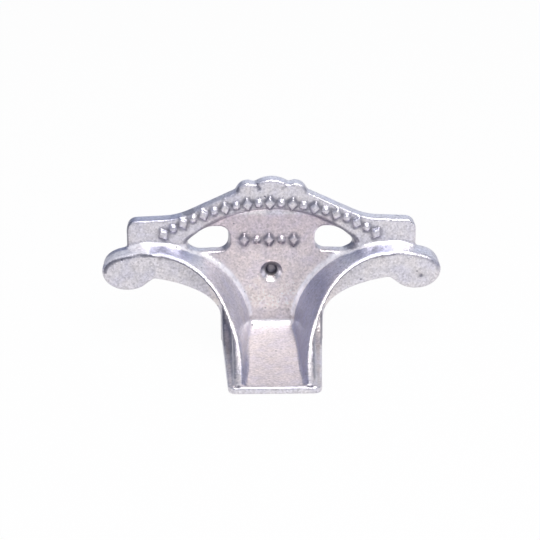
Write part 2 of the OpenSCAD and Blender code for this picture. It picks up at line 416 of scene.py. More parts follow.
        # Darkens the pits, and paints the shade of the crevices and of the screw hole.
        for soot in (pits_and_shade, hole_shade_share):
            color = graph.blend(soot, color, opaque(self.soot))
        height = grain * (self.grain_depth_mm * MM) - pits * (self.pit_depth_mm * MM)
        bump = graph.add("ShaderNodeBump", {}, {"Strength": 1.0, "Distance": 1.0, "Height": height})
        smoothest = self.roughness - 0.5 * self.grain_roughness
        shader = graph.add(
            "ShaderNodeBsdfPrincipled",
            {},
            {
                "Base Color": color,
                "Metallic": self.metallic - fillet * self.fillet_matt,
                "Roughness": grain * self.grain_roughness + smoothest - edge * self.edge_polish,
                "Normal": bump,
            },
        )
        graph.add("ShaderNodeOutputMaterial", {}, {"Surface": shader})
        return material

    def _skin(self, graph: Graph, place: Signal, grain: Signal) -> Signal:
        """Adds the mottled and speckled colour of the open faces.

        Args:
            graph: Tree to add to.
            place: Coordinates in metres.
            grain: The sand grain, from 0 to 1.

        Returns:
            The colour.
        """
        mottle = self._noise(graph, place, self.mottle_mm, self.detail)
        colors = (self.warm, self.pale, self.lilac)
        patches = graph.shades(mottle, list(zip(self.mottle_stops, colors)))
        cells = self._cells(graph, place, self.cell_size * self.grain_mm, "Color")
        cell = graph.add("ShaderNodeSeparateColor", {}, {0: cells})
        tone = cell * self.cell_tone + grain * self.grain_tone + self.base_tone
        return graph.blend(1.0, patches, tone, "MULTIPLY")

    def _tint(self, graph: Graph, place: Signal) -> Signal:
        """Adds the painted light and shade of the faces between the ribs, from the arch down to the floor.

        Args:
            graph: Tree to add to.
            place: Coordinates in metres.

        Returns:
            The tint.
        """
        height = graph.other(graph.add("ShaderNodeSeparateXYZ", {}, {0: place}), 2)
        tints = ((self.sand_mm, self.sand), (self.cream_mm, self.cream), (self.rose_mm, self.rose))
        stops = [(level_mm / self.tint_top_mm, tint) for level_mm, tint in tints]
        return graph.shades(height * (1.0 / (self.tint_top_mm * MM)), stops)

    def _specks(self, graph: Graph, place: Signal) -> Signal:
        """Adds the specks of painted highlight in the fillets.

        Args:
            graph: Tree to add to.
            place: Coordinates in metres.

        Returns:
            Share of painted highlight in a fillet, from 0 to 1.
        """
        clumps = self._noise(graph, place, self.clump_size * self.grain_mm, self.clump_detail)
        colors = ((self.speck_least,) * 3, WHITE)
        return graph.shades(clumps, list(zip(self.speck_stops, colors)))

    def _pits(self, graph: Graph, place: Signal) -> Signal:
        """Adds small gas pits.

        Args:
            graph: Tree to add to.
            place: Coordinates in metres.

        Returns:
            1 in a pit and 0 outside.
        """
        cells = self._cells(graph, place, self.pit_mm, "Distance")
        return graph.shades(cells, list(zip(self.pit_stops, (WHITE, BLACK))))

    @staticmethod
    def _trait(graph: Graph, trait: Trait) -> Signal:
        """Adds a value that the mesh keeps at each point."""
        return graph.add("ShaderNodeAttribute", {"attribute_name": trait.value}, output="Fac")

    @staticmethod
    def _cells(graph: Graph, place: Signal, size_mm: float, output: str) -> Signal:
        """Adds a pattern of cells.

        Args:
            graph: Tree to add to.
            place: Coordinates in metres.
            size_mm: Size of a cell.
            output: Name of the output to return.

        Returns:
            The chosen output of the pattern.
        """
        return graph.add(
            "ShaderNodeTexVoronoi",
            {"feature": "F1"},
            {"Vector": place, "Scale": 1.0 / (size_mm * MM)},
            output,
        )

    @staticmethod
    def _noise(graph: Graph, place: Signal, size_mm: float, detail: float) -> Signal:
        """Adds a noise of one size.

        Args:
            graph: Tree to add to.
            place: Coordinates in metres.
            size_mm: Size of a blotch.
            detail: Levels of finer noise.

        Returns:
            The noise, from 0 to 1.
        """
        return graph.add(
            "ShaderNodeTexNoise",
            {},
            {"Vector": place, "Scale": 1.0 / (size_mm * MM), "Detail": detail},
        )


@dataclass
class ReliefRow:
    """Row of raised lozenges with pellets between them, along an arc or a nearly straight line.

    Attributes:
        name: Name of the row.
        radius_mm: Radius of the arc through the ornaments' middles.
        crown_mm: Height of the arc's highest point.
        half_mm: Half the row's width.
        count: Number of ornaments, lozenges at both ends.
        face_mm: Position along Y of the face under the row.
        centre_mm: Position along X of the row's middle.
        tall_mm: Height of a lozenge.
        wide_mm: Width of a lozenge.
        pellet_mm: Diameter of a pellet.
        relief_mm: Distance by which the ornaments stand out.
        ARC_STEPS: Number of points along the arc.
        TOP: Size of a lozenge's top, as a share of its size.
        FOOT: Size of a lozenge's foot, as a share of its size.
        ROOT: Depth of a lozenge below the face, as a share of its relief.
        PELLET_STEPS: Number of steps round a pellet and along its height.
    """

    ARC_STEPS: ClassVar[int] = 96
    TOP: ClassVar[float] = 0.72
    FOOT: ClassVar[float] = 1.07
    ROOT: ClassVar[float] = 0.25
    PELLET_STEPS: ClassVar[tuple[int, int]] = (20, 12)

    name: str
    radius_mm: float
    crown_mm: float
    half_mm: float
    count: int
    face_mm: float
    centre_mm: float = -0.6
    tall_mm: float = 5.8
    wide_mm: float = 4.6
    pellet_mm: float = 3.3
    relief_mm: float = 1.3

    def build(self, material: bpy.types.Material) -> bpy.types.Mesh:
        """Builds the row as a plain mesh.

        Args:
            material: Material that the row takes.

        Returns:
            The row's mesh.
        """
        holder = bpy.data.objects.new(self.name, bpy.data.meshes.new(self.name))
        bpy.context.scene.collection.objects.link(holder)
        modifier = holder.modifiers.new("row", "NODES")
        modifier.node_group = self._tree()
        values = {
            "Radius": self.radius_mm * MM,
            "Half sweep": math.asin(self.half_mm / self.radius_mm),
            "Count": self.count,
            "Tall": self.tall_mm * MM,
            "Wide": self.wide_mm * MM,
            "Pellet": self.pellet_mm * MM,
            "Relief": self.relief_mm * MM,
            "Place": (
                self.centre_mm * MM,
                self.face_mm * MM,
                (self.crown_mm - self.radius_mm) * MM,
            ),
            "Material": material,
        }
        for item in modifier.node_group.interface.items_tree:
            if item.item_type == "SOCKET" and item.in_out == "INPUT" and item.name in values:
                modifier[item.identifier] = values[item.name]
        bpy.context.view_layer.update()
        graph = bpy.context.evaluated_depsgraph_get()
        mesh = bpy.data.meshes.new_from_object(holder.evaluated_get(graph))
        bpy.data.objects.remove(holder)
        LOG.info("%s: %d ornaments", self.name, self.count)
        return mesh

    @classmethod
    def _tree(cls) -> bpy.types.NodeTree:
        """Builds the node group of a row.

        Returns:
            The node group with its named inputs.
        """
        tree = bpy.data.node_groups.new("relief_row", "GeometryNodeTree")
        face = tree.interface
        face.new_socket("Geometry", in_out="INPUT", socket_type="NodeSocketGeometry")
        for name in ("Radius", "Half sweep", "Tall", "Wide", "Pellet", "Relief"):
            face.new_socket(name, in_out="INPUT", socket_type="NodeSocketFloat")
        face.new_socket("Count", in_out="INPUT", socket_type="NodeSocketInt")
        face.new_socket("Place", in_out="INPUT", socket_type="NodeSocketVector")
        face.new_socket("Material", in_out="INPUT", socket_type="NodeSocketMaterial")
        face.new_socket("Geometry", in_out="OUTPUT", socket_type="NodeSocketGeometry")
        graph = Graph(tree)
        given = graph.add("NodeGroupInput")
        take = {s.name: Signal(graph, s) for s in given.socket.node.outputs}
        arc = graph.add(
            "GeometryNodeCurveArc",
            {},
            {
                "Resolution": cls.ARC_STEPS,
                "Radius": take["Radius"],
                "Start Angle": 0.5 * math.pi - take["Half sweep"],
                "Sweep Angle": take["Half sweep"] * 2.0,
            },
        )
        points = graph.add("GeometryNodeCurveToPoints", {}, {"Curve": arc, "Count": take["Count"]})
        turn = cls._upright(graph)
        index = graph.add("GeometryNodeInputIndex")
        odd = graph.add("ShaderNodeMath", {"operation": "MODULO"}, {0: index, 1: 2.0})
        sunk = (0.0, 0.0, -cls.ROOT)
        lozenge = graph.add(
            "GeometryNodeMeshCone",
            {},
            {"Vertices": 4, "Radius Top": cls.TOP, "Radius Bottom": cls.FOOT, "Depth": 1.0 + cls.ROOT},
        )
        lozenge = graph.add("GeometryNodeTransform", {}, {"Geometry": lozenge, "Translation": sunk})
        lozenge = cls._sized(graph, lozenge, take["Wide"], take["Tall"], take["Relief"])
        segments, rings = cls.PELLET_STEPS
        pellet = graph.add(
            "GeometryNodeMeshUVSphere",
            {},
            {"Segments": segments, "Rings": rings, "Radius": 1.0},
        )
        pellet = cls._sized(graph, pellet, take["Pellet"], take["Pellet"], take["Relief"])
        big = graph.add(
            "GeometryNodeInstanceOnPoints",
            {},
            {"Points": points, "Selection": 1.0 - odd, "Instance": lozenge, "Rotation": turn},
        )
        small = graph.add(
            "GeometryNodeInstanceOnPoints",
            {},
            {"Points": points, "Selection": odd, "Instance": pellet, "Rotation": turn},
        )
        joined = graph.add("GeometryNodeJoinGeometry", {}, {0: big})
        tree.links.new(small.socket, joined.socket.node.inputs[0])
        stood = graph.add(
            "GeometryNodeTransform",
            {},
            {"Geometry": joined, "Translation": take["Place"], "Rotation": (0.5 * math.pi, 0.0, 0.0)},
        )
        real = graph.add("GeometryNodeRealizeInstances", {}, {0: stood})
        painted = graph.add("GeometryNodeSetMaterial", {}, {"Geometry": real, "Material": take["Material"]})
        graph.add("NodeGroupOutput", {}, {0: painted})
        return tree

    @staticmethod
    def _upright(graph: Graph) -> Signal:
        """Adds the turn that points each ornament away from the arc's centre.

        Args:
            graph: Tree to add to.

        Returns:
            The rotation.
        """
        split = graph.add("ShaderNodeSeparateXYZ", {}, {0: graph.add("GeometryNodeInputPosition")})
        angle = graph.add(
            "ShaderNodeMath",
            {"operation": "ARCTAN2"},
            {0: graph.other(split, 1), 1: split},
        )
        turn = graph.add("ShaderNodeCombineXYZ", {}, {2: angle - 0.5 * math.pi})
        return graph.add("FunctionNodeEulerToRotation", {}, {0: turn})

    @staticmethod
    def _sized(graph: Graph, shape: Signal, wide: Signal, tall: Signal, relief: Signal) -> Signal:
        """Scales a shape of unit radius and unit height.

        Args:
            graph: Tree to add to.
            shape: The shape.
            wide: Width to give it.
            tall: Height to give it along the face.
            relief: Distance by which it stands out.

        Returns:
            The scaled shape.
        """
        size = graph.add("ShaderNodeCombineXYZ", {}, {0: wide * 0.5, 1: tall * 0.5, 2: relief})
        return graph.add("GeometryNodeTransform", {}, {"Geometry": shape, "Scale": size})


@dataclass
class Skin:
    """Points of a mesh with their neighbours, moved as whole arrays.

    Attributes:
        mesh: The mesh.
        points: Its points in metres.
        ends: The two ends of each edge.
        degree: Number of neighbours of each point.
        STEP: Share of the way to its neighbours' middle that a point moves in one pass.
    """

    STEP: ClassVar[float] = 0.5

    mesh: bpy.types.Mesh
    points: np.ndarray = field(init=False)
    ends: np.ndarray = field(init=False)
    degree: np.ndarray = field(init=False)

    def __post_init__(self) -> None:
        """Reads the points and the edges."""
        flat = np.empty(3 * len(self.mesh.vertices), dtype=np.float32)
        self.mesh.vertices.foreach_get("co", flat)
        self.points = flat.reshape(-1, 3).astype(float)
        pairs = np.empty(2 * len(self.mesh.edges), dtype=np.int32)
        self.mesh.edges.foreach_get("vertices", pairs)
        self.ends = pairs.reshape(-1, 2).T
        self.degree = np.bincount(pairs, minlength=len(self.points))

    def write(self) -> None:
        """Writes the points back to the mesh."""
        self.mesh.vertices.foreach_set("co", self.points.astype(np.float32).ravel())
        self.mesh.update()

    def normals(self) -> np.ndarray:
        """Writes the points and returns the normal at each of them."""
        self.write()
        flat = np.empty(3 * len(self.points), dtype=np.float32)
        self.mesh.vertex_normals.foreach_get("vector", flat)
        return flat.reshape(-1, 3).astype(float)

    def around(self, values: np.ndarray) -> np.ndarray:
        """Takes the mean of the neighbours' values at each point.

        Args:
            values: One row for each point.

        Returns:
            The means, one row for each point.
        """
        a, b = self.ends
        size = len(self.degree)
        sums = [np.bincount(a, row[b], size) + np.bincount(b, row[a], size) for row in values.T]
        return np.stack(sums, axis=1) / self.degree[:, None]

    def relax(self, weight: np.ndarray, rounds: int) -> None:
        """Smooths the form.

        Args:
            weight: Strength at each point, from 0 to 1.
            rounds: Number of passes.
        """
        for _ in range(rounds):
            self.points += self.STEP * weight[:, None] * (self.around(self.points) - self.points)

    def hollow(self, rounds: int) -> np.ndarray:
        """Measures by how much smoothing would fill the form at each point.

        Args:
            rounds: Number of passes of smoothing.

        Returns:
            Depth in metres, over 0 in inner corners and under 0 on edges.
        """
        start = self.points.copy()
        out = self.normals()
        self.relax(np.ones(len(start)), rounds)
        depth = ((self.points - start) * out).sum(axis=1)
        self.points = start
        return depth

    def widen(self, values: np.ndarray, rings: int) -> np.ndarray:
        """Takes the highest value in reach of each point.

        Args:
            values: Value at each point.
            rings: Reach in edges.

        Returns:
            The highest values.
        """
        a, b = self.ends
        for _ in range(rings):
            grown = values.copy()
            np.maximum.at(grown, a, values[b])
            np.maximum.at(grown, b, values[a])
            values = grown
        return values

    def spread(self, mask: np.ndarray, rings: int) -> np.ndarray:
        """Widens a mask and softens its border.

        Args:
            mask: Value at each point, from 0 to 1.
            rings: Number of edges to widen it by.

        Returns:
            The wider mask.
        """
        mask = self.widen(mask, rings)
        for _ in range(rings // 2):
            mask = self.around(mask[:, None])[:, 0]
        return mask

    def reach(self, marks: np.ndarray) -> np.ndarray:
        """Measures the distance of each point from the nearest mark.

        Args:
            marks: Positions in metres.

        Returns:
            Distances in metres.
        """
        tree = kdtree.KDTree(len(marks))
        for index, mark in enumerate(marks):
            tree.insert(mark, index)
        tree.balance()
        return np.array([tree.find(p)[2] for p in self.points])

    def keep(self, trait: Trait, values: np.ndarray) -> None:
        """Stores a value at each point of the mesh.

        Args:
            trait: The value's name.
            values: The values.
        """
        store = self.mesh.attributes.new(trait.value, "FLOAT", "POINT")
        store.data.foreach_set("value", values.astype(np.float32))


@dataclass(frozen=True)
class Survey:
    """What is known of each point of the casting.

    Attributes:
        x: Places along X in millimetres.
        y: Places along Y in millimetres.
        z: Places along Z in millimetres.
        face_x: Parts of the normals along X.
        face_y: Parts of the normals along Y.
        face_z: Parts of the normals along Z.
        tight: Depths of filling, over 0 in inner corners and under 0 on edges.
    """

    x: np.ndarray
    y: np.ndarray
    z: np.ndarray
    face_x: np.ndarray
    face_y: np.ndarray
    face_z: np.ndarray
    tight: Union[np.ndarray, float]

    @classmethod
    def of(cls, skin: Skin, out: np.ndarray, tight: Union[np.ndarray, float] = 0.0) -> "Survey":
        """Surveys a skin by its normals and its depths of filling."""
        return cls(*(skin.points.T / MM), *out.T, tight)

    @property
    def wide(self) -> np.ndarray:
        """Distances from the middle plane in millimetres."""
        return np.abs(self.x)

    @property
    def outward(self) -> np.ndarray:
        """Parts of the normals away from the middle plane."""
        return self.face_x * np.sign(self.x)


@dataclass(frozen=True)
class Zone:
    """Part of a surface, as a span for each thing that a survey knows.

    Attributes:
        x: Span along X in millimetres.
        wide: Span of the distance from the middle plane in millimetres.
        y: Span along Y in millimetres.
        z: Span along Z in millimetres.
        face_x: Span of the normal's part along X.
        face_y: Span of the normal's part along Y.
        face_z: Span of the normal's part along Z.
        outward: Span of the normal's part away from the middle plane.
        tight: Span of the depth of filling.
    """

    x: Span = ANY
    wide: Span = ANY
    y: Span = ANY
    z: Span = ANY
    face_x: Span = ANY
    face_y: Span = ANY
    face_z: Span = ANY
    outward: Span = ANY
    tight: Span = ANY


class Area(Enum):
    """Named areas of the casting."""

    PLATE_CORNERS = Zone(z=(9.0, 40.5), face_y=(-INF, -0.3), face_z=(-0.3, INF), outward=(-INF, 0.2))
    WINDOW_FEET = Zone(wide=(27.0, 47.0), z=(33.0, INF))
    TOE_WALLS = Zone(wide=(8.0, 15.5), y=(-60.0, -10.0), z=(2.5, INF), outward=(-INF, 0.1))
    WINDOW_WALLS = Zone(
        wide=(9.0, 47.0), y=(0.0, 7.0), z=(35.0, 52.0), face_x=(-INF, -0.35), face_y=(-0.6, 0.6)
    )
    # Painted shade inside the windows.
    WINDOW_SOOT = Zone(
        wide=(9.0, 47.0), y=(0.3, 6.7), z=(36.0, 52.0), face_x=(-INF, -0.3), face_y=(-0.8, 0.8)
    )
    HEEL_CORNER = Zone(y=(-5.0, 5.0), z=(-INF, 9.0))
    HEEL_FILLET = Zone(
        wide=(-INF, 11.5), y=(-8.0, INF), z=(-INF, 16.0), face_y=(-INF, -0.3), face_z=(0.25, 0.93)
    )
    RIM_EDGES = Zone(y=(-58.0, -4.0), face_y=(-INF, -0.72), face_z=(0.0, INF), tight=(-INF, -0.18))
    RIM_FRONTS = Zone(face_y=(-INF, -0.72))
    RIM_FLANKS = Zone(y=(-57.0, -9.0), z=(4.0, INF), outward=(0.35, INF), tight=(-INF, -0.12))
    RIGHT_TIP = Zone(x=(49.0, INF))
    BAND_LEDGE = Zone(wide=(-INF, 46.0), y=(-0.4, 0.55), z=(38.0, INF), face_z=(-INF, -0.2))
    BAND_FRONT = Zone(y=(-0.8, 1.6))
    EAR_ENDS = Zone(wide=(50.0, INF), y=(-1.0, INF), face_x=(-INF, -0.45), tight=(-INF, -0.15))
    LEFT_TOP = Zone(x=(-INF, -5.0), y=(-1.5, INF), z=(44.0, INF))
    CREST_MIDDLE = Zone(wide=(-INF, 6.5), z=(60.0, INF))
    UPPER_SIDES = Zone(face_z=(0.1, INF))
    LEFT_LOBE_TOP = Zone(x=(-INF, -48.0), y=(-INF, -1.0), face_z=(0.55, INF))
    BOTH_LOBES = Zone(wide=(48.0, INF))
    LEFT_SHOULDER = Zone(x=(-INF, -36.0))
    FIELD = Zone(y=(-60.0, INF), z=(-INF, 50.0), face_x=(-0.3, 0.3), face_y=(-INF, -0.5))
    FLOOR = Zone(y=(-60.0, INF), z=(-INF, 50.0), face_x=(-0.3, 0.3), face_z=(0.5, INF))
    # Floor between the ribs, painted darker towards the heel.
    FLOOR_WEAR = Zone(wide=(-INF, 12.0), z=(-INF, 14.0), face_z=(0.3, INF))
    INNER_WALLS = Zone(wide=(-INF, 40.0), y=(-59.0, -1.5), face_y=(-0.6, INF))
    FACING_IN = Zone(outward=(-INF, -0.3))

    def mask(self, survey: Survey) -> np.ndarray:
        """Finds the points of the area.

        Args:
            survey: What is known of the points.

        Returns:
            True at the points within all of the area's spans.
        """
        inside = np.ones(len(survey.x), dtype=bool)
        for item in fields(self.value):
            low, high = getattr(self.value, item.name)
            values = getattr(survey, item.name)
            inside &= (values > low) & (values < high)
        return inside


@dataclass
class PaintedLight:
    """Painted shade and painted highlights at each point of the casting, as shares from 0 to 1.

    Attributes:
        skin: Points of the casting.
        survey: What is known of them.
        corners: Points along the inner corners, in metres.
        ribbon: Share of painted highlight along the inner corners.
        ribbon_mm: Half width of that painted highlight on the plate.
        wing_ribbon_mm: Half width of that painted highlight on top of the wings.
        wing_mm: Height from which a corner is on top of a wing.
        ribbon_face: Parts of the normal along Y at which that painted highlight begins and is full.
        tight_span: Depths of filling at which the painted shade of a crevice begins and is full.
        edge_span: Depths of filling at which the painted highlight on an edge begins and is full.
        heel_share: Share of the crevice's painted shade that is left at the heel.
        rim_mm: Distances from the rims' front edges at which their painted shade begins and is full.
        rim_share: Share of painted shade on the rims.
        tip_share: Share of that which is left at the right tip.
        ledge_mm: Distances from the band's lower edge at which the painted shadow under it begins and is
            full.
        ledge_share: Share of painted shadow under the band.
        stains: Other areas with painted shade, with its share.
        scallop_mm: Place of the corner beside the right scallop, along X and Z.
        scallop_form: Factors on the distance from it along X, Y and Z.
        scallop_fade_mm: Distances from it at which the painted shadow begins and is full.
        scallops: Sides of the two scallops, with their shares of painted shadow.
        left_top_share: Share of the edges' painted highlight that is left along the left of the top.
        crest_share: Share of the edges' painted highlight that is left at the middle of the crest.
        heel_pale: Share of painted highlight in the heel's fillet.
        lobe_pale: Share of painted highlight on top of the left lobe.
        shelter_mm: Distances from the middle plane at which the painted light and shade between the ribs
            begins and is full.
        turned_span: Parts of the normal inwards at which the painted shade of a wall begins and is full.
        left_wall_share: Share of painted shade on the left wall.
        foot_z_mm: Heights at which the painted shade at the foot of the walls begins and is full.
        foot_y_mm: Places along Y at which the painted shade at the foot of the walls begins and is full.
        foot_share: Share of painted shade at the foot of the walls.
        top_span: Parts of the normal upwards at which the painted shade on a top begins and is full.
        top_mm: Heights at which the painted shade on a top begins and is full.
        shoulder_share: Share of painted shade on the left shoulder.
        wing_share: Share of painted shade on top of the wings.
        bare_share: Share of painted shade on the other tops.
        wear_mm: Places along Y at which the painted shade on the floor near the heel begins and is full.
        wear_share: Share of painted shade on the floor near the heel.
    """

    skin: Skin
    survey: Survey
    corners: np.ndarray
    ribbon: np.ndarray = field(init=False)
    ribbon_mm: float = 0.9
    wing_ribbon_mm: float = 0.6
    wing_mm: float = 36.0
    ribbon_face: Span = (-0.985, -0.885)
    tight_span: Span = (0.3, 0.7)
    edge_span: Span = (-0.3, -1.3)
    heel_share: float = 0.3
    rim_mm: Span = (0.63, 0.28)
    rim_share: float = 0.95
    tip_share: float = 0.35
    ledge_mm: Span = (0.64, 0.24)
    ledge_share: float = 0.85
    # Painted shade on the rims' flanks, at the ears' ends and inside the windows.
    stains: Sequence[tuple[Area, float]] = (
        (Area.RIM_FLANKS, 0.6),
        (Area.EAR_ENDS, 0.85),
        (Area.WINDOW_SOOT, 0.6),
    )
    scallop_mm: Span = (13.4, 61.4)
    scallop_form: Place = (1.0, 0.5, 0.6)
    scallop_fade_mm: Span = (1.2222, 0.6667)
    scallops: Sequence[tuple[float, float]] = ((-1.0, 0.9), (1.0, 0.5))
    left_top_share: float = 0.2
    crest_share: float = 0.1
    heel_pale: float = 0.7
    lobe_pale: float = 0.6
    shelter_mm: Span = (28.0, 20.0)
    turned_span: Span = (0.35, 0.70)
    left_wall_share: float = 0.3
    foot_z_mm: Span = (9.0, 5.0)
    foot_y_mm: Span = (-20.0, -40.0)
    foot_share: float = 0.9
    top_span: Span = (0.65, 0.95)
    top_mm: Span = (31.0, 36.0)
    shoulder_share: float = 0.8
    wing_share: float = 0.85
    bare_share: float = 0.15
    wear_mm: Span = (-30.0, -10.0)
    wear_share: float = 0.16

    def __post_init__(self) -> None:
        """Finds the painted highlight along the inner corners."""
        width = np.where(self.survey.z > self.wing_mm, self.wing_ribbon_mm, self.ribbon_mm)
        ribbon = fade(self.skin.reach(self.corners) / (width * MM), 2.0, 1.0)
        self.ribbon = ribbon * fade(self.survey.face_y, *self.ribbon_face)

    def note(self) -> None:
        """Stores all the values on the mesh."""
        self.skin.keep(Trait.CREVICE, self._crevice())
        self.skin.keep(Trait.EDGE, self._edge())
        self.skin.keep(Trait.FILLET, self._fillet())
        self.skin.keep(Trait.SHELTER, self._shelter())
        self.skin.keep(Trait.DULL, self._dull())

    def _on(self, area: Area) -> np.ndarray:
        """Finds the points of an area."""
        return area.mask(self.survey)

    def _stain(self, area: Area, share: float) -> np.ndarray:
        """Gives a share on an area and one edge round it."""
        return share * self.skin.spread(self._on(area).astype(float), 1)

    def _beside(self, area: Area, fade_mm: Span) -> np.ndarray:
        """Gives shares that grow towards an area, between two distances from it."""
        return fade(self.skin.reach(self.skin.points[self._on(area)]) / MM, *fade_mm)

    def _crevice(self) -> np.ndarray:
        """Finds the painted shade in crevices, along edges and on the other shaded areas.

        Returns:
            The share at each point.
        """
        corner = self.skin.spread(fade(self.survey.tight, *self.tight_span), 2)
        corner *= np.where(self._on(Area.HEEL_CORNER), self.heel_share, 1.0)
        rim = self._beside(Area.RIM_EDGES, self.rim_mm) * self._on(Area.RIM_FRONTS)
        rim *= self.rim_share * np.where(self._on(Area.RIGHT_TIP), self.tip_share, 1.0)
        ledge = self._beside(Area.BAND_LEDGE, self.ledge_mm) * self._on(Area.BAND_FRONT)
        stains = [self._stain(area, share) for area, share in self.stains]
        return np.maximum.reduce([corner, rim, self.ledge_share * ledge, *stains, *self._scallops()])

    def _scallops(self) -> list[np.ndarray]:
        """Finds the painted shadow in the corners beside the crest's scallops.

        Returns:
            The shares at each point, for one scallop after the other.
        """
        shares = []
        places = np.stack((self.survey.x, self.survey.y, self.survey.z), axis=1)
        for side, share in self.scallops:
            corner = (side * self.scallop_mm[0], 0.0, self.scallop_mm[1])
            off = np.linalg.norm((places - corner) * self.scallop_form, axis=1)
            shares.append(share * fade(off, *self.scallop_fade_mm))
        return shares

    def _edge(self) -> np.ndarray:
        """Finds the painted highlight on the edges that face up.

        Returns:
            The share at each point.
        """
        kept = np.where(self._on(Area.LEFT_TOP), self.left_top_share, 1.0)
        kept = np.where(self._on(Area.CREST_MIDDLE), self.crest_share, kept)
        return fade(self.survey.tight, *self.edge_span) * self._on(Area.UPPER_SIDES) * kept

    def _fillet(self) -> np.ndarray:
        """Finds the painted highlight in the fillets and on the left lobe.

        Returns:
            The share at each point.
        """
        heel = self._stain(Area.HEEL_FILLET, self.heel_pale)
        return np.maximum.reduce([self.ribbon, heel, self.lobe_pale * self._on(Area.LEFT_LOBE_TOP)])

    def _shelter(self) -> np.ndarray:
        """Finds the faces between the ribs that take painted light and shade.

        Returns:
            The share at each point.
        """
        level = self._on(Area.FIELD) | self._on(Area.FLOOR)
        return self.skin.spread(fade(self.survey.wide, *self.shelter_mm) * level, 2)

    def _dull(self) -> np.ndarray:
        """Finds the painted shade on the inner walls, the tops and the floor near the heel.

        Returns:
            The share at each point.
        """
        survey = self.survey
        wall = fade(-survey.outward, *self.turned_span)
        wall *= np.where(survey.x > 0.0, 1.0, self.left_wall_share)
        foot = fade(survey.z, *self.foot_z_mm) * fade(survey.y, *self.foot_y_mm)
        foot *= self.foot_share * self._on(Area.FACING_IN)
        top = fade(survey.face_z, *self.top_span) * fade(survey.z, *self.top_mm) * (1.0 - self.ribbon)
        behind = np.where(self._on(Area.LEFT_SHOULDER), self.shoulder_share, self.bare_share)
        before = np.where(self._on(Area.BOTH_LOBES), self.bare_share, self.wing_share)
        top *= np.where(survey.y > 0.0, behind, before)
        # Painted shade on the floor, darker towards the heel.
        floor_shade = self.wear_share * fade(survey.y, *self.wear_mm) * self._on(Area.FLOOR_WEAR)
        walls = np.maximum(wall, foot) * self._on(Area.INNER_WALLS)
        return self.skin.spread(np.maximum.reduce([walls, top, floor_shade]), 1)


@dataclass(frozen=True)
class Dent:
    """Small pit that the casting has in its surface.

    Attributes:
        at_mm: Middle of the pit on the surface.
        radius_mm: Radius along X, Y and Z.
        depth_mm: Depth.
        SHARP: Steepness of the pit's sides.
    """

    SHARP: ClassVar[float] = 2.0

    at_mm: Place
    radius_mm: Place
    depth_mm: float

    def press(self, skin: Skin, out: np.ndarray) -> None:
        """Presses the pit into the surface.

        Args:
            skin: Points of the casting.
            out: Normals at the points.
        """
        off = (skin.points / MM - np.array(self.at_mm)) / np.array(self.radius_mm)
        share = np.exp(-self.SHARP * (off * off).sum(axis=1))
        skin.points -= out * (share * self.depth_mm * MM)[:, None]


@dataclass(frozen=True)
class Nick:
    """Short groove in the front of the crest.

    Attributes:
        top_mm: Upper end in front view, along X and Z.
        foot_mm: Lower end in front view, along X and Z.
        width_mm: Half width of the groove.
        depth_mm: Depth of the groove.
        reach_mm: Distance behind the front face at which the groove ends.
        taper: Share of its depth that the groove loses towards its lower end.
        FRONT: Part of the normal along Y under which a point lies in front.
    """


    FRONT: ClassVar[float] = 0.2

    top_mm: tuple[float, float]
    foot_mm: tuple[float, float]
    width_mm: float = 0.55
    depth_mm: float = 0.9
    reach_mm: float = 2.5
    taper: float = 0.6

    def press(self, skin: Skin, out: np.ndarray) -> None:
        """Presses the groove into the front of the crest.

        Args:
            skin: Points of the casting.
            out: Normals at the points.
        """
        flat = skin.points[:, (0, 2)] / MM
        start = np.array(self.top_mm)
        run = np.array(self.foot_mm) - start
        share = fade((flat - start) @ run, 0.0, run @ run)
        off = np.linalg.norm(flat - start - share[:, None] * run, axis=1) / self.width_mm
        near = fade(skin.points[:, 1] / MM, self.reach_mm, 0.0)
        push = np.exp(-off * off) * near * (1.0 - self.taper * share) * self.depth_mm * MM
        skin.points[:, 1] += push * (out[:, 1] < self.FRONT)


